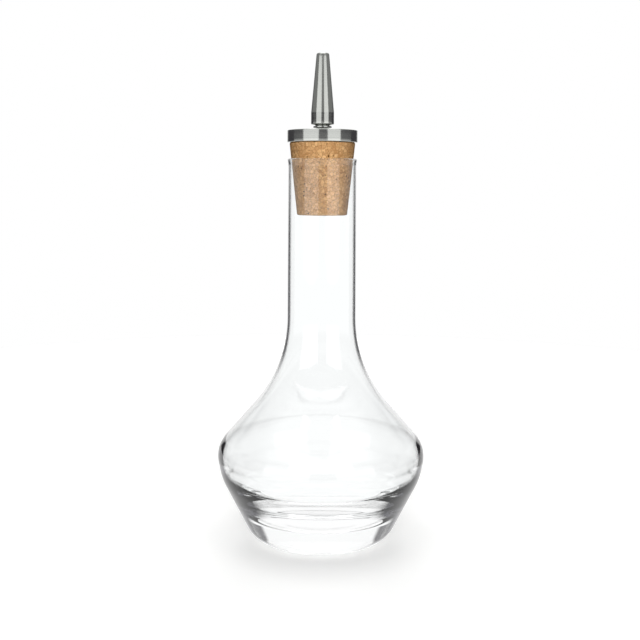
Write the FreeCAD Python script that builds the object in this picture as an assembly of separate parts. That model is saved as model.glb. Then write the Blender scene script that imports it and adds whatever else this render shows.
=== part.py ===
"""Bitters bottle: a clear glass flask closed by a cork stopper with a steel dasher head. Sizes in millimetres.

The origin is the middle of the base and +Z runs up the axis. Every piece is turned: a closed outline of radii and
heights, with its corners rounded, goes once round the axis.
"""
import FreeCAD, Part
import math
import os

# Glass flask, outside: the corners of its outline before they are rounded
foot_radius = 24.0
heel_radius = 35.25
heel_height = 22.8
belly_radius = 37.0
belly_rise = 9.8
shoulder_rise = 28.8
neck_radius = 11.95
neck_length = 69.8
neck_draw_in = 0.4
lip_height = 2.0
lip_flare = 0.35
foot_round = 9.0
heel_round = 21.6
belly_round = 9.1
neck_round = 47.0
lip_round = 5.0
rim_round = 0.45

# Glass flask, inside: walls, and the bowl over the solid base
base_thickness = 9.9
bowl_wall = 3.0
bowl_rise = 14.5
bowl_edge_round = 8.0
floor_radius = 23.3
floor_round = 32.0
belly_wall = 1.6
shoulder_wall = 0.9
neck_wall = 1.2

# Cork stopper: a plug that narrows downwards and seats in the mouth
cork_length = 24.5
cork_proud = 5.5
cork_taper_degrees = 6.05
cork_seat_clearance = 0.15
cork_edge_round = 0.5

# Steel disc on top of the cork
disc_radius = 12.0
disc_thickness = 4.0
disc_edge_round = 0.35

# Steel spout: a short neck on the disc, a bead, a groove and a straight collar, then a slim cone with a fine orifice
spout_neck_height = 0.55
spout_neck_wall = 0.45
spout_neck_round = 0.2
bead_rise = 0.35
bead_height = 0.46
bead_radius = 3.15
bead_round = 0.12
groove_rise = 0.24
groove_radius = 2.1
groove_round = 0.1
underside_rise = 0.45
collar_radius = 3.93
collar_height = 3.85
collar_round = 0.3
collar_cone_round = 2.0
cone_height = 19.6
orifice_radius = 0.75
tip_wall = 1.38
tip_round = 0.55

# Steel tube that runs from the cork's foot up through the disc and into the spout
stem_radius = 1.25
stem_wall = 0.25
stem_turn_clearance = 0.05
stem_seat_clearance = 0.02
socket_depth = 4.5

full_turn_degrees = 360.0

# Heights above the base
belly_height = heel_height + belly_rise
neck_height = belly_height + shoulder_rise
lip_start = neck_height + neck_length
rim_height = lip_start + lip_height
cork_top = rim_height + cork_proud
cork_foot = cork_top - cork_length
disc_top = cork_top + disc_thickness
spout_neck_top = disc_top + spout_neck_height
bead_foot = spout_neck_top + bead_rise
bead_top = bead_foot + bead_height
groove_middle = bead_top + groove_rise
collar_foot = groove_middle + underside_rise
cone_foot = collar_foot + collar_height
tip_height = cone_foot + cone_height
stem_top = disc_top + socket_depth

# Radii shared by pieces that fit together
mouth_radius = neck_radius - neck_wall
cork_rim_radius = mouth_radius - cork_seat_clearance
cork_bore_radius = stem_radius + stem_turn_clearance
stem_seat_radius = stem_radius + stem_seat_clearance


def half_angle(before, corner, after):
    """Half the angle between the two sides that meet at a corner."""
    return (before - corner).getAngle(after - corner) / 2


def corner_arc(before, corner, after, reach):
    """First, middle and last point of the arc that rounds a corner and touches its sides at a distance from it."""
    to_before = (before - corner).normalize()
    to_after = (after - corner).normalize()
    half = half_angle(before, corner, after)
    radius = reach * math.tan(half)
    inwards = (to_before + to_after).normalize()
    middle = corner + inwards * (radius / math.sin(half) - radius)
    return corner + to_before * reach, middle, corner + to_after * reach


def turned(corners):
    """Solid of revolution about Z from a closed outline of (radius, height, rounding) corners.

    Two rounds that need more than the side between them both shrink until they fit.
    """
    points = [FreeCAD.Vector(radius, 0, height) for radius, height, _ in corners]
    befores = points[-1:] + points[:-1]
    afters = points[1:] + points[:1]
    sides = [corner.distanceToPoint(after) for corner, after in zip(points, afters)]
    wanted = [
        round_radius / math.tan(half_angle(*place)) if round_radius else 0
        for (_, _, round_radius), place in zip(corners, zip(befores, points, afters))
    ]
    fits = [side / max(side, wanted[index] + wanted[(index + 1) % len(sides)]) for index, side in enumerate(sides)]
    arcs = []
    for index, place in enumerate(zip(befores, points, afters)):
        reach = wanted[index] * min(fits[index - 1], fits[index])
        arcs.append(corner_arc(*place, reach) if reach else (points[index],) * 3)
    edges = []
    for index, (first, middle, last) in enumerate(arcs):
        if corners[index][2]:
            edges.append(Part.Arc(first, middle, last).toShape())
        next_first = arcs[(index + 1) % len(arcs)][0]
        if not last.isEqual(next_first, Part.Precision.confusion()):
            edges.append(Part.LineSegment(last, next_first).toShape())
    face = Part.Face(Part.Wire(edges))
    return face.revolve(FreeCAD.Vector(0, 0, 0), FreeCAD.Vector(0, 0, 1), full_turn_degrees)


def shoulder_inside(radius):
    """Height of the inner shoulder at a radius: the outer cone moved inwards by the shoulder's wall."""
    slope = shoulder_rise / (belly_radius - neck_radius)
    return belly_height + (belly_radius - radius) * slope - shoulder_wall * math.hypot(1, slope)


def make_bottle():
    """Thick solid base, flank, belly, cone shoulder and long neck, hollow down to a rounded bowl over the base."""
    cavity_belly_radius = belly_radius - belly_wall
    drawn_neck_radius = neck_radius - neck_draw_in
    outside = [
        (0, 0, 0),
        (foot_radius, 0, foot_round),
        (heel_radius, heel_height, heel_round),
        (belly_radius, belly_height, belly_round),
        (neck_radius, neck_height, neck_round),
        (drawn_neck_radius, lip_start, lip_round),
        (drawn_neck_radius + lip_flare, rim_height, rim_round),
    ]
    inside = [
        (mouth_radius, rim_height, rim_round),
        (mouth_radius, shoulder_inside(mouth_radius), neck_round + shoulder_wall),
        (cavity_belly_radius, shoulder_inside(cavity_belly_radius), belly_round - shoulder_wall),
        (belly_radius - bowl_wall, base_thickness + bowl_rise, bowl_edge_round),
        (floor_radius, base_thickness, floor_round),
        (0, base_thickness, 0),
    ]
    return turned(outside + inside)


def make_cork_stopper():
    """Tapered plug with softened edges and a through bore for the stem."""
    taper = math.tan(math.radians(cork_taper_degrees))
    top_radius = cork_rim_radius + cork_proud * taper
    cork_foot_radius = cork_rim_radius - (cork_length - cork_proud) * taper
    return turned([
        (cork_bore_radius, cork_foot, 0),
        (cork_foot_radius, cork_foot, cork_edge_round),
        (top_radius, cork_top, cork_edge_round),
        (cork_bore_radius, cork_top, 0),
    ])


def make_cap_disc():
    """Flat disc with softened rims and a seat for the stem through its middle."""
    return turned([
        (stem_seat_radius, cork_top, 0),
        (disc_radius, cork_top, disc_edge_round),
        (disc_radius, disc_top, disc_edge_round),
        (stem_seat_radius, disc_top, 0),
    ])


def make_spout():
    """Neck, bead, collar and cone round a fine orifice, with a socket below it that takes the stem's end."""
    spout_neck_radius = stem_seat_radius + spout_neck_wall
    return turned([
        (stem_seat_radius, disc_top, 0),
        (spout_neck_radius, disc_top, 0),
        (spout_neck_radius, spout_neck_top, spout_neck_round),
        (bead_radius, bead_foot, bead_round),
        (bead_radius, bead_top, bead_round),
        (groove_radius, groove_middle, groove_round),
        (collar_radius, collar_foot, collar_round),
        (collar_radius, cone_foot, collar_cone_round),
        (orifice_radius + tip_wall, tip_height, tip_round),
        (orifice_radius, tip_height, 0),
        (orifice_radius, stem_top, 0),
        (stem_seat_radius, stem_top, 0),
    ])


def make_stem_tube():
    """Thin straight tube, flush with the cork's foot and seated on the step in the spout's socket."""
    bore_radius = stem_radius - stem_wall
    return turned([
        (bore_radius, cork_foot, 0),
        (stem_radius, cork_foot, 0),
        (stem_radius, stem_top, 0),
        (bore_radius, stem_top, 0),
    ])


pieces = {
    "bottle": make_bottle,
    "cork_stopper": make_cork_stopper,
    "cap_disc": make_cap_disc,
    "spout": make_spout,
    "stem_tube": make_stem_tube,
}

os.makedirs("parts", exist_ok=True)
for name, make in pieces.items():
    solid = make()
    solid.exportStep(f"parts/{name}.step")
    box = solid.BoundBox
    print(f"{name}: valid {solid.isValid()}, {solid.Volume:.1f} mm3, z {box.ZMin:.2f} to {box.ZMax:.2f}")
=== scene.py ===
"""Bitters bottle: clear glass flask, pressed cork stopper and turned steel dasher head, on a white studio floor.

Every piece is turned about the bottle's axis: an outline of corners is rounded and swept once round by a node tree.
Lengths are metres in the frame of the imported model, whose base stands on z = 0 with +Z up the axis.
"""
import math

import bmesh
import bpy
from bpy.props import FloatProperty, FloatVectorProperty, PointerProperty
from mathutils import Matrix, Vector


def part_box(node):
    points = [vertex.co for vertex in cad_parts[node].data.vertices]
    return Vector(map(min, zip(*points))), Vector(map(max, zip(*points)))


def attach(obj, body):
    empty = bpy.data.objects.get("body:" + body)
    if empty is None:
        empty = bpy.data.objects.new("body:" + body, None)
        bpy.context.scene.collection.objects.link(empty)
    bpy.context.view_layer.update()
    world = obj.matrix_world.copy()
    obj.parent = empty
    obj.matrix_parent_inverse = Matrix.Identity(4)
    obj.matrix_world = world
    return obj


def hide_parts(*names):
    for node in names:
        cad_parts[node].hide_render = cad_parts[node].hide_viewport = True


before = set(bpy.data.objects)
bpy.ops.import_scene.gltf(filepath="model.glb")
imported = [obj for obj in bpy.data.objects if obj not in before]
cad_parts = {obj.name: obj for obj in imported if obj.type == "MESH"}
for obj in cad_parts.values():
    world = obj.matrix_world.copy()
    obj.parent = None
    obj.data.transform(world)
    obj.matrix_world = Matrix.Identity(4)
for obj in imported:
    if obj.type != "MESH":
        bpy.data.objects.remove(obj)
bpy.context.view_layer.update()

bl_info = {
    "name": "Bitters bottle",
    "version": (1, 0, 0),
    "blender": (4, 5, 0),
    "location": "View3D > Sidebar > Bitters bottle",
    "description": "Makes a glass bitters bottle with a cork stopper and a steel dasher head",
    "category": "Object",
}

MM = 0.001
ROUND_ATTRIBUTE = "round"
WELD_DISTANCE = 0.001 * MM
SWEEP_RADIUS = 20 * MM    # ring that carries an outline round the axis. The piece doesn't depend on its size
WHITE = (1, 1, 1, 1)

_, bottle_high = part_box("bottle")
cork_low, cork_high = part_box("cork_stopper")
disc_low, disc_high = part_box("cap_disc")
spout_low, spout_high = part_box("spout")
stem_low, stem_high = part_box("stem_tube")


def length(name, millimetres, description):
    """A length that a user may change, given in millimetres and held in metres."""
    return FloatProperty(name=name, description=description, default=millimetres * MM, min=0, unit="LENGTH",
                         precision=5)


def angle(name, degrees, description):
    """An angle that a user may change, given in degrees and held in radians."""
    return FloatProperty(name=name, description=description, default=math.radians(degrees), unit="ROTATION")


def linear(hex_colour):
    """Linear red, green, blue and alpha of an sRGB colour written as six hex digits."""
    shares = [int(hex_colour[i:i + 2], 16) / 255 for i in (1, 3, 5)]
    return [s / 12.92 if s <= 0.04045 else ((s + 0.055) / 1.055) ** 2.4 for s in shares] + [1.0]


def colour(name, hex_colour, description):
    """A colour that a user may change, given in sRGB."""
    return FloatVectorProperty(name=name, description=description, default=linear(hex_colour), size=4, min=0, max=1,
                               subtype="COLOR")


def brightness(name, level, description):
    """A brightness that a user may change, where 1 renders as white."""
    return FloatProperty(name=name, description=description, default=level, min=0)


class FlaskSizes(bpy.types.PropertyGroup):
    """Corners of the glass outline before they are rounded, its rounds and its walls."""
    foot_radius: length("Foot radius", 24.0, "Corner between the flat base and the flank")
    heel_radius: length("Heel radius", 35.25, "Corner between the flank and the belly")
    heel_height: length("Heel height", 22.8, "Height of that corner")
    belly_radius: length("Belly radius", 37.0, "Corner between the belly and the shoulder")
    belly_rise: length("Belly rise", 9.8, "Height from heel corner to belly corner")
    shoulder_rise: length("Shoulder rise", 28.8, "Height from belly corner to neck corner")
    neck_radius: length("Neck radius", 11.95, "Outside of the neck where the shoulder meets it")
    neck_draw_in: length("Neck draw-in", 0.4, "How much slimmer the neck is just under the lip")
    lip_height: length("Lip height", 2.0, "Height of the flared lip")
    lip_flare: length("Lip flare", 0.35, "How far the lip stands out from the neck")
    foot_round: length("Foot round", 9.0, "Rounding between base and flank")
    heel_round: length("Heel round", 21.6, "Rounding between flank and belly")
    belly_round: length("Belly round", 9.1, "Rounding between belly and shoulder")
    neck_round: length("Neck round", 47.0, "Sweep from shoulder to neck")
    lip_round: length("Lip round", 5.0, "Sweep from neck to lip")
    rim_round: length("Rim round", 0.45, "Fire-polished edge of the mouth")
    base_thickness: length("Base thickness", 9.9, "Solid glass under the middle of the cavity")
    bowl_wall: length("Bowl wall", 3.0, "Wall at the upper edge of the bowl, from the belly's corner inwards")
    bowl_rise: length("Bowl rise", 14.5, "Height of the bowl at the bottom of the cavity")
    bowl_edge_round: length("Bowl edge round", 8.0, "Rounding between the bowl and the belly's wall")
    floor_radius: length("Floor radius", 23.3, "Corner between the cavity's floor and the bowl's side")
    floor_round: length("Floor round", 32.0, "Sweep from floor to side")
    belly_wall: length("Belly wall", 1.6, "Wall at the belly")
    shoulder_wall: length("Shoulder wall", 0.9, "Wall of the shoulder")
    neck_wall: length("Neck wall", 1.2, "Wall of the neck")


class CorkSizes(bpy.types.PropertyGroup):
    """The tapered plug, and the seams and pits that its granules leave."""
    top_radius: length("Top radius", 11.18, "Radius under the steel disc")
    foot_radius: length("Foot radius", 8.59, "Radius at the foot")
    bore_radius: length("Bore radius", 1.3, "Hole for the stem")
    edge_round: length("Edge round", 0.5, "Ground edges at top and foot")
    bore_round: length("Bore edge round", 0.12, "Worn edges of the hole")
    granule: length("Granule", 1.1, "Width of the pressed granules")
    seam_width: length("Seam width", 0.26, "Width of the seams between granules")
    seam_depth: length("Seam depth", 0.07, "Depth of those seams")
    pit_spacing: length("Pit spacing", 1.6, "Mean distance between places where a pit may be")
    pit_radius: length("Pit radius", 0.4, "Radius of a pit")
    pit_depth: length("Pit depth", 0.15, "Depth of a pit")
    pit_share: FloatProperty(name="Pit share", description="Share of those places that have a pit", default=0.45,
                             min=0, max=1, subtype="FACTOR")


class DasherSizes(bpy.types.PropertyGroup):
    """The turned disc, spout and stem."""
    disc_edge_round: length("Disc edge round", 0.2, "Softened rims of the disc")
    seat_radius: length("Seat radius", 1.27, "Hole that holds the stem in disc and spout")
    seat_round: length("Seat edge round", 0.08, "Broken edges of that hole")
    neck_wall: length("Neck wall", 0.45, "Wall of the spout's short neck")
    neck_height: length("Neck height", 0.55, "Height of the spout's short neck")
    neck_round: length("Neck round", 0.2, "Rounding between neck and bead")
    bead_radius: length("Bead radius", 3.15, "Radius of the bead over the neck")
    bead_rise: length("Bead rise", 0.35, "Height of the bead's sloped underside")
    bead_height: length("Bead height", 0.46, "Height of the bead's straight face")
    bead_round: length("Bead round", 0.12, "Softened edges of the bead")
    groove_radius: length("Groove radius", 2.1, "Floor of the groove over the bead")
    groove_rise: length("Groove rise", 0.24, "Height of the groove's lower side")
    groove_round: length("Groove round", 0.1, "Rounding of the groove's floor")
    underside_rise: length("Underside rise", 0.45, "Height of the collar's sloped underside")
    collar_height: length("Collar height", 3.85, "Height of the straight collar")
    collar_round: length("Collar round", 0.3, "Rounding at the collar's foot")
    collar_cone_round: length("Cone round", 2.0, "Rounding between collar and cone")
    orifice_radius: length("Orifice radius", 0.75, "Radius of the dash hole")
    tip_wall: length("Tip wall", 1.38, "Wall of the tip")
    tip_round: length("Tip round", 0.55, "Rounding of the tip")
    stem_wall: length("Stem wall", 0.25, "Wall of the stem")
    stem_round: length("Stem edge round", 0.05, "Broken edges of the stem")


class Finishes(bpy.types.PropertyGroup):
    """Colours of the three materials."""
    glass: colour("Glass", "#feffff", "Colour that clear glass passes")
    # painted shade: the dark tint that the eye sees on the glass where a wall is seen at a slant, drawn on top of the
    # dark edge that refraction gives
    glass_painted_edge_shade: colour("Glass edge", "#141418", "Colour that thick walls pass at a glancing angle")
    glass_light: colour("Glass light", "#fcfcfc", "Light from a lamp that each face of the glass passes")
    glass_shade: colour("Glass shade", "#a4a4a4", "Light from a lamp that it passes at a glancing angle")
    cork_pale: colour("Cork, pale", "#efc48c", "Palest granules")
    cork_mid: colour("Cork, middle", "#d6a772", "Most granules")
    cork_dark: colour("Cork, dark", "#b47f4c", "Darkest granules")
    cork_seam: colour("Cork seam", "#8a582c", "Binder between granules")
    cork_pit: colour("Cork pit", "#54320f", "Bark at the bottom of pits")
    steel: colour("Steel", "#b9bbb7", "Bare turned steel")
    steel_groove: colour("Steel groove", "#a7a9a5", "Floor of the turning grooves")


class StageSizes(bpy.types.PropertyGroup):
    """Camera, floor and light."""
    camera_distance: length("Camera distance", 328.1, "Level distance from the axis")
    camera_height: length("Camera height", 124.76, "Height above the floor")
    camera_aside: length("Camera aside", 0.52, "How far the camera stands to the left of the axis")
    camera_pitch: angle("Camera pitch", 8.15, "How far the camera looks down")
    camera_roll: angle("Camera roll", 0.29, "How far the camera leans to the left")
    camera_lens: FloatProperty(name="Lens", description="Focal length on a 36 mm sensor, in millimetres",
                               default=53.44, min=1)
    floor_radius: length("Floor radius", 450.0, "Radius of the round white table")
    floor_colour: colour("Floor", "#f4f4f3", "White board")
    floor_bounce: colour("Floor bounce", "#444444",
                         "White board as matt surfaces see it, so that it throws little light up")
    floor_glow: brightness("Floor glow", 0.3, "White that the floor adds under the bottle")
    floor_glow_far: brightness("Far floor glow", 0.45, "White that the floor adds at its edge")
    backdrop_half_angle: angle("Backdrop half-angle", 26.5, "Half the width of the white backdrop at eye level")
    backdrop_spread: FloatProperty(name="Backdrop spread", default=0.43, min=0,
                                   description="How much wider it gets for each unit of height")
    backdrop_edge: angle("Backdrop edge", 5.0, "Width of the backdrop's soft edge")
    ceiling_angle: angle("Ceiling angle", 45.0, "Height above the level where the white ceiling starts")
    ceiling_edge: angle("Ceiling edge", 16.0, "Width of the ceiling's soft edge")
    side_floor_angle: angle("Side floor angle", 75.0, "Turn from the backdrop past which the floor beyond is white")
    clear_height: angle("Clear height", 18.0,
                        "Height above the level up to which glass lets white through on every side")
    room: colour("Room", "#545256", "Dark studio beside the backdrop")
    room_above: colour("Room above", "#a8a8a8", "Its paler walls higher up, well away from the backdrop")
    room_above_height: angle("Room above height", 8.0, "Height above the level where the walls get paler")
    room_above_turn: angle("Room above turn", 50.0, "Turn from the backdrop past which they get paler")
    fill: colour("Fill", "#161616", "Light that the studio's walls throw on matt surfaces")
    softbox_left_angle: angle("Left softbox angle", 38.0, "Turn from the camera's side")
    softbox_right_angle: angle("Right softbox angle", 38.5, "Turn from the camera's side")
    softbox_left_width: length("Left softbox width", 889.0, "Width of the left softbox")
    softbox_right_width: length("Right softbox width", 730.0, "Width of the right softbox")
    softbox_distance: length("Softbox distance", 900.0, "From the axis to each softbox")
    softbox_height: length("Softbox height", 480.0, "Height of each softbox")
    softbox_level: brightness("Softbox level", 1.15, "Brightness of each softbox, where 1 renders as white")
    front_level: brightness("Front light level", 11.0, "Brightness of the light in front")
    back_level: brightness("Back light level", 7.0, "Brightness of the light behind")
    key_width: length("Key light width", 500.0, "Side of the square lights in front and behind")
    key_height: length("Key light height", 250.0, "Height of those lights")
    top_level: brightness("Top light level", 2.6, "Brightness of the light overhead")
    top_width: length("Top light width", 700.0, "Side of the square light overhead")
    top_height: length("Top light height", 900.0, "Height of the light overhead")


def add_node(tree, kind, settings=None, inputs=None):
    """Adds a node. An input takes a value, another node's output, or a node, whose first output is used."""
    node = tree.nodes.new(kind)
    for name, value in (settings or {}).items():
        setattr(node, name, value)
    for key, value in (inputs or {}).items():
        if isinstance(value, bpy.types.Node):
            value = value.outputs[0]
        if isinstance(value, bpy.types.NodeSocket):
            tree.links.new(value, node.inputs[key])
        else:
            node.inputs[key].default_value = value
    return node


def new_material(name):
    """A new material whose node tree is empty, and that tree."""
    material = bpy.data.materials.new(name)
    material.use_nodes = True
    material.node_tree.nodes.clear()
    return material, material.node_tree


def clear_glass(finish):
    """Colourless soda-lime glass, blown and fire polished: sharp clear edges, and faint waves along the surface.

    Seen at a slant, its thick walls get a painted dark edge, a tint for the eye only, on top of the dark edge that
    refraction gives: broadest at the heel, and the thin shoulder hardly any. Light from lamps goes through with
    little loss, though with more at a slant.
    """
    wave_width, wave_height, wave_depth = 26 * MM, 7 * MM, 0.1 * MM
    painted_shade_start, painted_shade_full = 0.62, 0.76    # painted shade: slant at which a thick wall's painted dark edge starts, and at which it is darkest
    neck_lead, heel_lead = 0.09, 0.2      # how much less slant the neck and the heel need for that
    material, tree = new_material("clear_glass")
    place = add_node(tree, "ShaderNodeTexCoord").outputs["Object"]
    rays = add_node(tree, "ShaderNodeLightPath").outputs
    glance = add_node(tree, "ShaderNodeLayerWeight", inputs={"Blend": 0.5}).outputs["Facing"]
    stretched = add_node(tree, "ShaderNodeMapping", inputs={
        "Vector": place, "Scale": (1 / wave_width, 1 / wave_width, 1 / wave_height)})
    waves = add_node(tree, "ShaderNodeTexNoise", inputs={"Vector": stretched, "Scale": 1.0, "Detail": 1.0})
    bump = add_node(tree, "ShaderNodeBump", inputs={"Strength": 0.12, "Distance": wave_depth, "Height": waves})

    height = add_node(tree, "ShaderNodeSeparateXYZ", inputs={0: place}).outputs["Z"]
    share = {}
    for part, low, high, first, last in (    # two heights in millimetres, and the part's share in the painted edge shade at each
            ("neck", 54, 68, 0.0, 0.98),
            ("below_rim", 104, 133, 1.0, 0.88),
            ("below_shoulder", 28, 40, 1.0, 0.2),
            ("above_foot", 1, 5, 0.0, 1.0),
            ("above_flank", 11, 16, 0.0, 1.0),
            ("below_belly", 23, 28, 1.0, 0.0)):
        share[part] = add_node(tree, "ShaderNodeMapRange", {"interpolation_type": "SMOOTHSTEP"}, {
            "Value": height, "From Min": low * MM, "From Max": high * MM, "To Min": first, "To Max": last})
    belly = add_node(tree, "ShaderNodeMath", {"operation": "MULTIPLY"}, {
        0: share["above_foot"], 1: share["below_shoulder"]})
    neck = add_node(tree, "ShaderNodeMath", {"operation": "MULTIPLY"}, {0: share["neck"], 1: share["below_rim"]})
    thick = add_node(tree, "ShaderNodeMath", {"operation": "MAXIMUM"}, {0: neck, 1: belly})
    heel = add_node(tree, "ShaderNodeMath", {"operation": "MULTIPLY"}, {
        0: share["above_flank"], 1: share["below_belly"]})
    neck_slant = add_node(tree, "ShaderNodeMath", {"operation": "MULTIPLY_ADD"}, {
        0: share["neck"], 1: neck_lead, 2: glance})
    slant = add_node(tree, "ShaderNodeMath", {"operation": "MULTIPLY_ADD"}, {0: heel, 1: heel_lead, 2: neck_slant})
    painted_shade_slant = add_node(tree, "ShaderNodeMapRange", {"interpolation_type": "SMOOTHSTEP"}, {
        "Value": slant, "From Min": painted_shade_start, "From Max": painted_shade_full})
    edge = add_node(tree, "ShaderNodeMath", {"operation": "MULTIPLY"}, {0: painted_shade_slant, 1: thick})
    # painted shade: a ray from the eye gets the dark tint where it first meets the glass, and not again at the faces
    # behind
    painted_edge_shade = add_node(tree, "ShaderNodeMath", {"operation": "MULTIPLY"}, {0: edge, 1: rays["Is Camera Ray"]})
    glass_and_painted_shade = add_node(tree, "ShaderNodeMix", {"data_type": "RGBA"}, {
        0: painted_edge_shade, 6: finish.glass, 7: finish.glass_painted_edge_shade})
    solid = add_node(tree, "ShaderNodeBsdfPrincipled", inputs={
        "Base Color": glass_and_painted_shade.outputs[2], "Roughness": 0.0, "IOR": 1.5, "Transmission Weight": 1.0, "Normal": bump})

    passed = add_node(tree, "ShaderNodeMix", {"data_type": "RGBA"}, {
        0: glance, 6: finish.glass_light, 7: finish.glass_shade})
    open_way = add_node(tree, "ShaderNodeBsdfTransparent", inputs={"Color": passed.outputs[2]})
    shader = add_node(tree, "ShaderNodeMixShader", inputs={0: rays["Is Shadow Ray"], 1: solid, 2: open_way})
    add_node(tree, "ShaderNodeOutputMaterial", inputs={"Surface": shader})
    return material


def cork_pattern(tree, place, granule, seam_width, pit_spacing, pit_radius, pit_share):
    """Nodes for the pattern of pressed cork, alike in a material and in a shape: tone, seams, pits and grain.

    Each is a share from 0 to 1. Granules are cells whose walls a noise bends, and pits lie in some cells of a wider
    pattern.
    """
    grain_width = 0.55 * MM
    bend_share = 0.7     # most that a wall bends, as a share of a granule
    floor_share = 0.55   # level floor of a pit, as a share of its radius
    granule_rate = add_node(tree, "ShaderNodeMath", {"operation": "DIVIDE"}, {0: 1.0, 1: granule})
    bend = add_node(tree, "ShaderNodeTexNoise", inputs={
        "Vector": place, "Scale": granule_rate, "Detail": 3.0, "Roughness": 0.6})
    reach = add_node(tree, "ShaderNodeMath", {"operation": "MULTIPLY"}, {0: granule, 1: bend_share})
    shift = add_node(tree, "ShaderNodeVectorMath", {"operation": "SCALE"}, {
        0: bend.outputs["Color"], "Scale": reach})
    bent = add_node(tree, "ShaderNodeVectorMath", {"operation": "ADD"}, {0: place, 1: shift})
    cells = add_node(tree, "ShaderNodeTexVoronoi", inputs={"Vector": bent, "Scale": granule_rate})
    tone = add_node(tree, "ShaderNodeTexWhiteNoise", inputs={"Vector": cells.outputs["Position"]})
    walls = add_node(tree, "ShaderNodeTexVoronoi", {"feature": "DISTANCE_TO_EDGE"}, {
        "Vector": bent, "Scale": granule_rate})
    half_width = add_node(tree, "ShaderNodeMath", {"operation": "MULTIPLY"}, {0: seam_width, 1: 0.5})
    half_seam = add_node(tree, "ShaderNodeMath", {"operation": "DIVIDE"}, {0: half_width, 1: granule})
    seams = add_node(tree, "ShaderNodeMapRange", {"interpolation_type": "SMOOTHSTEP"}, {
        "Value": walls, "From Min": 0.0, "From Max": half_seam, "To Min": 1.0, "To Max": 0.0})
    spot_rate = add_node(tree, "ShaderNodeMath", {"operation": "DIVIDE"}, {0: 1.0, 1: pit_spacing})
    spots = add_node(tree, "ShaderNodeTexVoronoi", inputs={"Vector": bent, "Scale": spot_rate})
    spot_radius = add_node(tree, "ShaderNodeMath", {"operation": "DIVIDE"}, {0: pit_radius, 1: pit_spacing})
    spot_floor = add_node(tree, "ShaderNodeMath", {"operation": "MULTIPLY"}, {0: spot_radius, 1: floor_share})
    hollows = add_node(tree, "ShaderNodeMapRange", {"interpolation_type": "SMOOTHSTEP"}, {
        "Value": spots, "From Min": spot_floor, "From Max": spot_radius, "To Min": 1.0, "To Max": 0.0})
    chance = add_node(tree, "ShaderNodeTexWhiteNoise", inputs={"Vector": spots.outputs["Position"]})
    chosen = add_node(tree, "ShaderNodeMath", {"operation": "LESS_THAN"}, {0: chance, 1: pit_share})
    pits = add_node(tree, "ShaderNodeMath", {"operation": "MULTIPLY"}, {0: hollows, 1: chosen})
    grain = add_node(tree, "ShaderNodeTexNoise", inputs={
        "Vector": bent, "Scale": 1 / grain_width, "Detail": 3.0, "Roughness": 0.6})
    return tone, seams, pits, grain


def pressed_cork(finish, sizes):
    """Cork granules pressed with a binder and ground: matt tan flakes of many tones, brown seams and dark pits."""
    grain_share = 0.65                   # how much of the tone is grain, where the rest is the granule's own
    seam_fades, seam_full = 0.4, 0.6     # grain between which a seam comes and goes
    grain_depth = 0.1 * MM
    material, tree = new_material("pressed_cork")
    place = add_node(tree, "ShaderNodeTexCoord").outputs["Object"]
    tone, seams, pits, grain = cork_pattern(tree, place, sizes.granule, sizes.seam_width, sizes.pit_spacing,
                                            sizes.pit_radius, sizes.pit_share)
    mixed_tone = add_node(tree, "ShaderNodeMix", inputs={0: grain_share, 2: tone, 3: grain})
    ramp = add_node(tree, "ShaderNodeValToRGB", inputs={"Fac": mixed_tone})
    stops = ramp.color_ramp.elements
    stops[0].position, stops[0].color = 0.2, finish.cork_dark
    stops[1].position, stops[1].color = 0.8, finish.cork_pale
    stops.new(0.5).color = finish.cork_mid
    broken = add_node(tree, "ShaderNodeMapRange", inputs={
        "Value": grain, "From Min": seam_fades, "From Max": seam_full})
    seam_share = add_node(tree, "ShaderNodeMath", {"operation": "MULTIPLY"}, {0: seams, 1: broken})
    seamed = add_node(tree, "ShaderNodeMix", {"data_type": "RGBA"}, {0: seam_share, 6: ramp, 7: finish.cork_seam})
    pitted = add_node(tree, "ShaderNodeMix", {"data_type": "RGBA"}, {
        0: pits, 6: seamed.outputs[2], 7: finish.cork_pit})
    bump = add_node(tree, "ShaderNodeBump", inputs={"Strength": 0.35, "Distance": grain_depth, "Height": grain})
    shader = add_node(tree, "ShaderNodeBsdfPrincipled", inputs={
        "Base Color": pitted.outputs[2], "Roughness": 0.85, "Specular IOR Level": 0.3, "Normal": bump})
    add_node(tree, "ShaderNodeOutputMaterial", inputs={"Surface": shader})
    return material


def turned_steel(finish):
    """Stainless steel straight from the lathe: satin rings round the axis draw each reflection out lengthwise."""
    ring_pitch = 0.5 * MM    # real turning marks are finer than a pixel, so these are drawn coarse enough to show
    ring_depth = 0.01 * MM
    material, tree = new_material("turned_steel")
    place = add_node(tree, "ShaderNodeTexCoord").outputs["Object"]
    along = add_node(tree, "ShaderNodeSeparateXYZ", inputs={0: place})
    around = add_node(tree, "ShaderNodeVectorMath", {"operation": "LENGTH"}, {
        0: add_node(tree, "ShaderNodeVectorMath", {"operation": "MULTIPLY"}, {0: place, 1: (1, 1, 0)})})
    lathe = add_node(tree, "ShaderNodeCombineXYZ", inputs={"X": around.outputs["Value"], "Z": along.outputs["Z"]})
    rings = add_node(tree, "ShaderNodeTexNoise", inputs={
        "Vector": lathe, "Scale": 1 / ring_pitch, "Detail": 2.0})
    tone = add_node(tree, "ShaderNodeMix", {"data_type": "RGBA"}, {0: rings, 6: finish.steel_groove, 7: finish.steel})
    roughness = add_node(tree, "ShaderNodeMapRange", inputs={"Value": rings, "To Min": 0.1, "To Max": 0.18})
    bump = add_node(tree, "ShaderNodeBump", inputs={"Strength": 0.15, "Distance": ring_depth, "Height": rings})
    shader = add_node(tree, "ShaderNodeBsdfPrincipled", inputs={
        "Base Color": tone.outputs[2], "Metallic": 1.0, "Roughness": roughness, "Anisotropic": 0.6,
        "Anisotropic Rotation": 0.25, "Normal": bump})
    add_node(tree, "ShaderNodeOutputMaterial", inputs={"Surface": shader})
    return material


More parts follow.
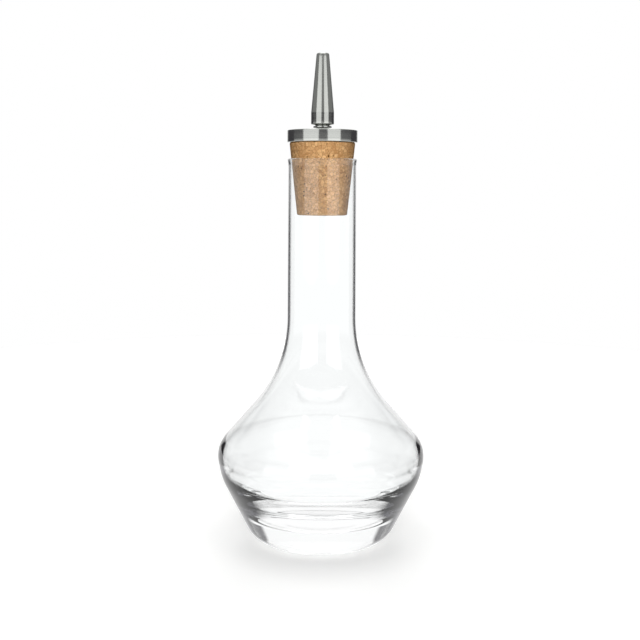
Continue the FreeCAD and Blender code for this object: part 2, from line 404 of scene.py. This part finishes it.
def turned_tree():
    """Node tree that rounds an outline's corners, divides its long sides and sweeps it once round the axis.

    The outline is a chain of edges with X as the radius and Y as the height. Its points carry their own rounding.
    """
    tree = bpy.data.node_groups.get("turned_piece")
    if tree:
        return tree
    tree = bpy.data.node_groups.new("turned_piece", "GeometryNodeTree")
    for label, kind in (("Outline", "NodeSocketGeometry"), ("Arc steps", "NodeSocketInt"),
                        ("Turn steps", "NodeSocketInt"), ("Longest side", "NodeSocketFloat"),
                        ("Material", "NodeSocketMaterial")):
        tree.interface.new_socket(label, in_out="INPUT", socket_type=kind)
    tree.interface.new_socket("Piece", in_out="OUTPUT", socket_type="NodeSocketGeometry")
    given = add_node(tree, "NodeGroupInput").outputs
    chain = add_node(tree, "GeometryNodeMeshToCurve", inputs={"Mesh": given["Outline"]})
    rounding = add_node(tree, "GeometryNodeInputNamedAttribute", {"data_type": "FLOAT"}, {"Name": ROUND_ATTRIBUTE})
    rounded = add_node(tree, "GeometryNodeFilletCurve", {"mode": "POLY"}, {
        "Curve": chain, "Count": given["Arc steps"], "Radius": rounding, "Limit Radius": True})
    place = add_node(tree, "GeometryNodeInputPosition")
    next_point = add_node(tree, "GeometryNodeOffsetPointInCurve", inputs={"Offset": 1})
    next_place = add_node(tree, "GeometryNodeFieldAtIndex", {"data_type": "FLOAT_VECTOR"}, {
        "Value": place, "Index": next_point.outputs["Point Index"]})
    side = add_node(tree, "ShaderNodeVectorMath", {"operation": "DISTANCE"}, {0: place, 1: next_place})
    cuts = add_node(tree, "ShaderNodeMath", {"operation": "DIVIDE"}, {
        0: side.outputs["Value"], 1: given["Longest side"]})
    divided = add_node(tree, "GeometryNodeSubdivideCurve", inputs={"Curve": rounded, "Cuts": cuts})
    profile = add_node(tree, "GeometryNodeTransform", inputs={    # the sweep lays a profile's Y downwards
        "Geometry": divided, "Translation": (-SWEEP_RADIUS, 0, 0), "Scale": (1, -1, 1)})
    ring = add_node(tree, "GeometryNodeCurvePrimitiveCircle", inputs={
        "Resolution": given["Turn steps"], "Radius": SWEEP_RADIUS})
    swept = add_node(tree, "GeometryNodeCurveToMesh", inputs={"Curve": ring, "Profile Curve": profile})
    welded = add_node(tree, "GeometryNodeMergeByDistance", inputs={"Geometry": swept, "Distance": WELD_DISTANCE})
    smooth = add_node(tree, "GeometryNodeSetShadeSmooth", inputs={"Geometry": welded})
    real = add_node(tree, "GeometryNodeRealizeInstances", inputs={"Geometry": smooth})
    finished = add_node(tree, "GeometryNodeSetMaterial", inputs={"Geometry": real, "Material": given["Material"]})
    add_node(tree, "NodeGroupOutput", inputs={"Piece": finished})
    return tree


def relief_tree():
    """Node tree that sinks the seams and pits of pressed cork into a piece."""
    tree = bpy.data.node_groups.new("cork_relief", "GeometryNodeTree")
    tree.interface.new_socket("Piece", in_out="INPUT", socket_type="NodeSocketGeometry")
    for label in ("Granule", "Seam width", "Seam depth", "Pit spacing", "Pit radius", "Pit depth", "Pit share"):
        tree.interface.new_socket(label, in_out="INPUT", socket_type="NodeSocketFloat")
    tree.interface.new_socket("Material", in_out="INPUT", socket_type="NodeSocketMaterial")
    tree.interface.new_socket("Piece", in_out="OUTPUT", socket_type="NodeSocketGeometry")
    given = add_node(tree, "NodeGroupInput").outputs
    place = add_node(tree, "GeometryNodeInputPosition")
    _, seams, pits, _ = cork_pattern(tree, place, given["Granule"], given["Seam width"], given["Pit spacing"],
                                     given["Pit radius"], given["Pit share"])
    seam_sink = add_node(tree, "ShaderNodeMath", {"operation": "MULTIPLY"}, {0: seams, 1: given["Seam depth"]})
    pit_sink = add_node(tree, "ShaderNodeMath", {"operation": "MULTIPLY"}, {0: pits, 1: given["Pit depth"]})
    sink = add_node(tree, "ShaderNodeMath", {"operation": "MAXIMUM"}, {0: seam_sink, 1: pit_sink})
    inwards = add_node(tree, "ShaderNodeVectorMath", {"operation": "SCALE"}, {
        0: add_node(tree, "GeometryNodeInputNormal"),
        "Scale": add_node(tree, "ShaderNodeMath", {"operation": "MULTIPLY"}, {0: sink, 1: -1.0})})
    sunk = add_node(tree, "GeometryNodeSetPosition", inputs={"Geometry": given["Piece"], "Offset": inwards})
    real = add_node(tree, "GeometryNodeRealizeInstances", inputs={"Geometry": sunk})
    finished = add_node(tree, "GeometryNodeSetMaterial", inputs={"Geometry": real, "Material": given["Material"]})
    add_node(tree, "NodeGroupOutput", inputs={"Piece": finished})
    return tree


def apply_tree(piece, tree, values):
    """Runs a node tree on a piece and keeps the result as its plain mesh, with the faces turned outwards."""
    modifier = piece.modifiers.new(tree.name, "NODES")
    modifier.node_group = tree
    for item in tree.interface.items_tree:
        if item.in_out == "INPUT" and item.name in values:
            modifier[item.identifier] = values[item.name]
    graph = bpy.context.evaluated_depsgraph_get()
    mesh = bpy.data.meshes.new_from_object(piece.evaluated_get(graph), depsgraph=graph)
    piece.modifiers.remove(modifier)
    old_mesh = piece.data
    piece.data = mesh
    bpy.data.meshes.remove(old_mesh)
    mesh.name = piece.name
    shape = bmesh.new()
    shape.from_mesh(mesh)
    bmesh.ops.recalc_face_normals(shape, faces=shape.faces)
    shape.to_mesh(mesh)
    shape.free()
    if not mesh.polygons:
        raise RuntimeError(f"{piece.name} came out empty")


def turned_piece(name, corners, material, closed=True, arc_steps=8, turn_steps=128, longest_side=1 * MM):
    """A piece turned from an outline of (radius, height, rounding) corners."""
    mesh = bpy.data.meshes.new(name)
    count = len(corners)
    edges = [(i, (i + 1) % count) for i in range(count if closed else count - 1)]
    mesh.from_pydata([(radius, height, 0) for radius, height, _ in corners], edges, [])
    rounding = mesh.attributes.new(ROUND_ATTRIBUTE, "FLOAT", "POINT")
    rounding.data.foreach_set("value", [corner[2] for corner in corners])
    piece = bpy.data.objects.new(name, mesh)
    bpy.context.scene.collection.objects.link(piece)
    apply_tree(piece, turned_tree(), {
        "Arc steps": arc_steps, "Turn steps": turn_steps, "Longest side": longest_side, "Material": material})
    return piece


def settle(piece, node, body):
    """Puts a finished piece in place of its node, on the body that carries it."""
    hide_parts(node)
    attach(piece, body)


class BITTERS_OT_flask(bpy.types.Operator):
    """Blow the glass flask"""
    bl_idname = "bitters.flask"
    bl_label = "Glass flask"

    def execute(self, context):
        sizes = context.scene.bitters_flask
        rim = bottle_high.z
        belly_height = sizes.heel_height + sizes.belly_rise
        slope = sizes.shoulder_rise / (sizes.belly_radius - sizes.neck_radius)
        mouth = sizes.neck_radius - sizes.neck_wall
        drawn_neck = sizes.neck_radius - sizes.neck_draw_in
        belly_inside = sizes.belly_radius - sizes.belly_wall

        def shoulder_inside(radius):
            outside = belly_height + (sizes.belly_radius - radius) * slope
            return outside - sizes.shoulder_wall * math.hypot(1, slope)

        corners = [
            (0, 0, 0),
            (sizes.foot_radius, 0, sizes.foot_round),
            (sizes.heel_radius, sizes.heel_height, sizes.heel_round),
            (sizes.belly_radius, belly_height, sizes.belly_round),
            (sizes.neck_radius, belly_height + sizes.shoulder_rise, sizes.neck_round),
            (drawn_neck, rim - sizes.lip_height, sizes.lip_round),
            (drawn_neck + sizes.lip_flare, rim, sizes.rim_round),
            (mouth, rim, sizes.rim_round),
            (mouth, shoulder_inside(mouth), sizes.neck_round + sizes.shoulder_wall),
            (belly_inside, shoulder_inside(belly_inside), sizes.belly_round - sizes.shoulder_wall),
            (sizes.belly_radius - sizes.bowl_wall, sizes.base_thickness + sizes.bowl_rise, sizes.bowl_edge_round),
            (sizes.floor_radius, sizes.base_thickness, sizes.floor_round),
            (0, sizes.base_thickness, 0),
        ]
        flask = turned_piece("glass_flask", corners, clear_glass(context.scene.bitters_finishes), closed=False,
                             arc_steps=20, turn_steps=192, longest_side=1.5 * MM)
        settle(flask, "bottle", "bottle")
        return {"FINISHED"}


class BITTERS_OT_cork(bpy.types.Operator):
    """Press and grind the cork stopper"""
    bl_idname = "bitters.cork"
    bl_label = "Cork stopper"

    def execute(self, context):
        sizes = context.scene.bitters_cork
        corners = [
            (sizes.bore_radius, cork_low.z, sizes.bore_round),
            (sizes.foot_radius, cork_low.z, sizes.edge_round),
            (sizes.top_radius, cork_high.z, sizes.edge_round),
            (sizes.bore_radius, cork_high.z, sizes.bore_round),
        ]
        material = pressed_cork(context.scene.bitters_finishes, sizes)
        cork = turned_piece("cork_plug", corners, material, arc_steps=5, turn_steps=300, longest_side=0.25 * MM)
        apply_tree(cork, relief_tree(), {
            "Granule": sizes.granule, "Seam width": sizes.seam_width, "Seam depth": sizes.seam_depth,
            "Pit spacing": sizes.pit_spacing, "Pit radius": sizes.pit_radius, "Pit depth": sizes.pit_depth,
            "Pit share": sizes.pit_share, "Material": material})
        settle(cork, "cork_stopper", "stopper")
        return {"FINISHED"}


class BITTERS_OT_dasher(bpy.types.Operator):
    """Turn the steel disc, spout and stem"""
    bl_idname = "bitters.dasher"
    bl_label = "Steel dasher head"

    def execute(self, context):
        sizes = context.scene.bitters_dasher
        steel = turned_steel(context.scene.bitters_finishes)
        disc_radius = disc_high.x
        disc = turned_piece("steel_disc", [
            (sizes.seat_radius, disc_low.z, sizes.seat_round),
            (disc_radius, disc_low.z, sizes.disc_edge_round),
            (disc_radius, disc_high.z, sizes.disc_edge_round),
            (sizes.seat_radius, disc_high.z, sizes.seat_round),
        ], steel, turn_steps=192)
        neck_radius = sizes.seat_radius + sizes.neck_wall
        collar_radius = spout_high.x
        neck_top = spout_low.z + sizes.neck_height
        bead_foot = neck_top + sizes.bead_rise
        bead_top = bead_foot + sizes.bead_height
        groove_middle = bead_top + sizes.groove_rise
        collar_foot = groove_middle + sizes.underside_rise
        spout = turned_piece("steel_spout", [
            (sizes.seat_radius, spout_low.z, sizes.seat_round),
            (neck_radius, spout_low.z, sizes.seat_round),
            (neck_radius, neck_top, sizes.neck_round),
            (sizes.bead_radius, bead_foot, sizes.bead_round),
            (sizes.bead_radius, bead_top, sizes.bead_round),
            (sizes.groove_radius, groove_middle, sizes.groove_round),
            (collar_radius, collar_foot, sizes.collar_round),
            (collar_radius, collar_foot + sizes.collar_height, sizes.collar_cone_round),
            (sizes.orifice_radius + sizes.tip_wall, spout_high.z, sizes.tip_round),
            (sizes.orifice_radius, spout_high.z, sizes.seat_round),
            (sizes.orifice_radius, stem_high.z, sizes.seat_round),
            (sizes.seat_radius, stem_high.z, sizes.seat_round),
        ], steel)
        stem_radius = stem_high.x
        stem_bore = stem_radius - sizes.stem_wall
        stem = turned_piece("steel_stem", [
            (stem_bore, stem_low.z, sizes.stem_round),
            (stem_radius, stem_low.z, sizes.stem_round),
            (stem_radius, stem_high.z, sizes.stem_round),
            (stem_bore, stem_high.z, sizes.stem_round),
        ], steel, turn_steps=64)
        for piece, node in ((disc, "cap_disc"), (spout, "spout"), (stem, "stem_tube")):
            settle(piece, node, "dasher")
        return {"FINISHED"}


def ray_kinds(tree):
    """Kinds of rays, each 1 for a ray of its kind and 0 for others.

    They are those straight from the eye, those by way of glass or metal alone, those of them that have just gone
    through glass, and those by way of a matt surface.
    """
    under_one = 0.5
    light = add_node(tree, "ShaderNodeLightPath").outputs
    matt = add_node(tree, "ShaderNodeMath", {"operation": "GREATER_THAN"}, {
        0: light["Diffuse Depth"], 1: under_one})
    bent = add_node(tree, "ShaderNodeMath", {"operation": "MAXIMUM"}, {
        0: light["Is Glossy Ray"], 1: light["Is Transmission Ray"]})
    shiny = add_node(tree, "ShaderNodeMath", {"operation": "GREATER_THAN"}, {0: bent, 1: matt})
    through = add_node(tree, "ShaderNodeMath", {"operation": "GREATER_THAN"}, {
        0: light["Is Transmission Ray"], 1: matt})
    return light["Is Camera Ray"], shiny, through, matt


def white_board(sizes):
    """White painted board: matt, keeps the bottle's shadow, and as white as the backdrop round it.

    Its glow, which the eye sees, grows outwards as the light falls off. Glass and metal see it as plain white.
    """
    material, tree = new_material("white_board")
    place = add_node(tree, "ShaderNodeTexCoord").outputs["Object"]
    distance = add_node(tree, "ShaderNodeVectorMath", {"operation": "LENGTH"}, {0: place}).outputs["Value"]
    level = add_node(tree, "ShaderNodeMapRange", inputs={
        "Value": distance, "From Min": 0.0, "From Max": sizes.floor_radius, "To Min": sizes.floor_glow,
        "To Max": sizes.floor_glow_far})
    direct, shiny, _, bounced = ray_kinds(tree)
    strength = add_node(tree, "ShaderNodeMath", {"operation": "MULTIPLY"}, {0: direct, 1: level})
    paint = add_node(tree, "ShaderNodeMix", {"data_type": "RGBA"}, {
        0: bounced, 6: sizes.floor_colour, 7: sizes.floor_bounce})
    matt = add_node(tree, "ShaderNodeBsdfDiffuse", inputs={"Color": paint.outputs[2]})
    glow = add_node(tree, "ShaderNodeEmission", inputs={"Color": WHITE, "Strength": strength})
    lit = add_node(tree, "ShaderNodeAddShader", inputs={0: matt, 1: glow})
    white = add_node(tree, "ShaderNodeEmission", inputs={"Color": WHITE, "Strength": 1.0})
    shader = add_node(tree, "ShaderNodeMixShader", inputs={0: shiny, 1: lit, 2: white})
    add_node(tree, "ShaderNodeOutputMaterial", inputs={"Surface": shader})
    return material


def studio_world(sizes):
    """White to the eye. Glass and metal see a white backdrop straight behind, a white ceiling and a dark room.

    What glass lets through is white on every side up to the clear height. Matt surfaces get only the fill from it.
    """
    world = bpy.data.worlds.new("studio")
    world.use_nodes = True
    tree = world.node_tree
    tree.nodes.clear()
    way = add_node(tree, "ShaderNodeSeparateXYZ", inputs={
        0: add_node(tree, "ShaderNodeTexCoord").outputs["Generated"]})
    turn = add_node(tree, "ShaderNodeMath", {"operation": "ARCTAN2"}, {0: way.outputs["X"], 1: way.outputs["Y"]})
    aside = add_node(tree, "ShaderNodeMath", {"operation": "ABSOLUTE"}, {0: turn})
    rise = add_node(tree, "ShaderNodeMath", {"operation": "ARCSINE"}, {0: way.outputs["Z"]})

    beside = add_node(tree, "ShaderNodeMath", {"operation": "MULTIPLY_ADD"}, {
        0: rise, 1: -sizes.backdrop_spread, 2: aside})
    share = {}
    for part, value, middle, width, first, last in (
            ("backdrop", beside, sizes.backdrop_half_angle, sizes.backdrop_edge, 1.0, 0.0),
            ("ceiling", rise, sizes.ceiling_angle, sizes.ceiling_edge, 0.0, 1.0),
            ("below_level", rise, 0.0, sizes.backdrop_edge, 1.0, 0.0),
            ("far_aside", aside, sizes.side_floor_angle, sizes.backdrop_edge, 0.0, 1.0),
            ("clear", rise, sizes.clear_height, sizes.backdrop_edge, 1.0, 0.0),
            ("upper_walls", rise, sizes.room_above_height, sizes.backdrop_edge, 0.0, 1.0),
            ("side_walls", aside, sizes.room_above_turn, sizes.ceiling_edge, 0.0, 1.0)):
        share[part] = add_node(tree, "ShaderNodeMapRange", {"interpolation_type": "SMOOTHSTEP"}, {
            "Value": value, "From Min": middle - width / 2, "From Max": middle + width / 2, "To Min": first,
            "To Max": last})
    direct, shiny, through, _ = ray_kinds(tree)
    side_floor = add_node(tree, "ShaderNodeMath", {"operation": "MULTIPLY"}, {
        0: share["far_aside"], 1: share["below_level"]})
    above = add_node(tree, "ShaderNodeMath", {"operation": "MAXIMUM"}, {0: share["backdrop"], 1: share["ceiling"]})
    around = add_node(tree, "ShaderNodeMath", {"operation": "MAXIMUM"}, {0: above, 1: side_floor})
    cleared = add_node(tree, "ShaderNodeMath", {"operation": "MULTIPLY"}, {0: through, 1: share["clear"]})
    white_share = add_node(tree, "ShaderNodeMath", {"operation": "MAXIMUM"}, {0: around, 1: cleared})
    pale_share = add_node(tree, "ShaderNodeMath", {"operation": "MULTIPLY"}, {
        0: share["upper_walls"], 1: share["side_walls"]})
    walls = add_node(tree, "ShaderNodeMix", {"data_type": "RGBA"}, {
        0: pale_share, 6: sizes.room, 7: sizes.room_above})
    studio = add_node(tree, "ShaderNodeMix", {"data_type": "RGBA"}, {
        0: white_share, 6: walls.outputs[2], 7: WHITE})
    lit = add_node(tree, "ShaderNodeMix", {"data_type": "RGBA"}, {0: shiny, 6: sizes.fill, 7: studio.outputs[2]})
    seen = add_node(tree, "ShaderNodeMix", {"data_type": "RGBA"}, {0: direct, 6: lit.outputs[2], 7: WHITE})
    background = add_node(tree, "ShaderNodeBackground", inputs={"Color": seen.outputs[2], "Strength": 1.0})
    add_node(tree, "ShaderNodeOutputWorld", inputs={"Surface": background})
    return world


def softbox(name, width, height, level, place, target):
    """A soft rectangular lamp whose face has the given brightness, turned towards a point."""
    lamp = bpy.data.lights.new(name, "AREA")
    lamp.shape = "RECTANGLE"
    lamp.size = width
    lamp.size_y = height
    lamp.energy = level * math.pi * width * height
    box = bpy.data.objects.new(name, lamp)
    bpy.context.scene.collection.objects.link(box)
    away = Vector(place) - Vector(target)
    box.matrix_world = Matrix.Translation(place) @ away.to_track_quat("Z", "Y").to_matrix().to_4x4()
    return box


class BITTERS_OT_stage(bpy.types.Operator):
    """Set up the white floor, the softboxes and the camera"""
    bl_idname = "bitters.stage"
    bl_label = "Studio"

    def execute(self, context):
        scene = context.scene
        sizes = scene.bitters_stage
        bpy.ops.mesh.primitive_circle_add(vertices=96, radius=sizes.floor_radius, fill_type="NGON")
        floor = context.active_object
        floor.name = "studio_floor"
        floor.data.materials.append(white_board(sizes))
        scene.world = studio_world(sizes)
        target = (0, 0, bottle_high.z / 2)
        for side, turn, width in (("left", -sizes.softbox_left_angle, sizes.softbox_left_width),
                                  ("right", sizes.softbox_right_angle, sizes.softbox_right_width)):
            place = (sizes.softbox_distance * math.sin(turn), -sizes.softbox_distance * math.cos(turn),
                     sizes.softbox_height / 2)
            box = softbox(f"softbox_{side}", width, sizes.softbox_height, sizes.softbox_level, place, target)
            box.visible_diffuse = False
        for side, level, depth in (("front", sizes.front_level, -sizes.softbox_distance),
                                   ("back", sizes.back_level, sizes.softbox_distance)):
            place = (0, depth, sizes.key_height)
            key = softbox(f"key_{side}", sizes.key_width, sizes.key_width, level, place, target)
            key.visible_glossy = False
            key.visible_transmission = False
        softbox("softbox_top", sizes.top_width, sizes.top_width, sizes.top_level, (0, 0, sizes.top_height), target)
        camera = bpy.data.objects.new("camera", bpy.data.cameras.new("camera"))
        scene.collection.objects.link(camera)
        camera.data.lens = sizes.camera_lens
        camera.data.clip_start = 1 * MM
        camera.matrix_world = (
            Matrix.Translation((-sizes.camera_aside, -sizes.camera_distance, sizes.camera_height))
            @ Matrix.Rotation(math.pi / 2 - sizes.camera_pitch, 4, "X") @ Matrix.Rotation(sizes.camera_roll, 4, "Z"))
        scene.camera = camera
        scene.view_settings.view_transform = "Standard"
        return {"FINISHED"}


class BITTERS_PT_panel(bpy.types.Panel):
    """Buttons that make each piece, with the sizes and colours they use"""
    bl_idname = "BITTERS_PT_panel"
    bl_label = "Bitters bottle"
    bl_space_type = "VIEW_3D"
    bl_region_type = "UI"
    bl_category = "Bitters bottle"

    def draw(self, context):
        for operator, group in ((BITTERS_OT_flask, "bitters_flask"), (BITTERS_OT_cork, "bitters_cork"),
                                (BITTERS_OT_dasher, "bitters_dasher"), (BITTERS_OT_stage, "bitters_stage")):
            box = self.layout.box()
            box.operator(operator.bl_idname)
            settings = getattr(context.scene, group)
            for name in settings.__annotations__:
                box.prop(settings, name)
        box = self.layout.box()
        for name in Finishes.__annotations__:
            box.prop(context.scene.bitters_finishes, name)


SETTINGS = {
    "bitters_flask": FlaskSizes,
    "bitters_cork": CorkSizes,
    "bitters_dasher": DasherSizes,
    "bitters_finishes": Finishes,
    "bitters_stage": StageSizes,
}
OPERATORS = (BITTERS_OT_flask, BITTERS_OT_cork, BITTERS_OT_dasher, BITTERS_OT_stage)


def register():
    for name, group in SETTINGS.items():
        bpy.utils.register_class(group)
        setattr(bpy.types.Scene, name, PointerProperty(type=group))
    for kind in (*OPERATORS, BITTERS_PT_panel):
        bpy.utils.register_class(kind)


def unregister():
    for kind in reversed((*OPERATORS, BITTERS_PT_panel)):
        bpy.utils.unregister_class(kind)
    for name, group in reversed(SETTINGS.items()):
        delattr(bpy.types.Scene, name)
        bpy.utils.unregister_class(group)


def main():
    register()
    bpy.ops.bitters.flask()
    bpy.ops.bitters.cork()
    bpy.ops.bitters.dasher()
    bpy.ops.bitters.stage()


if __name__ == "__main__":
    main()
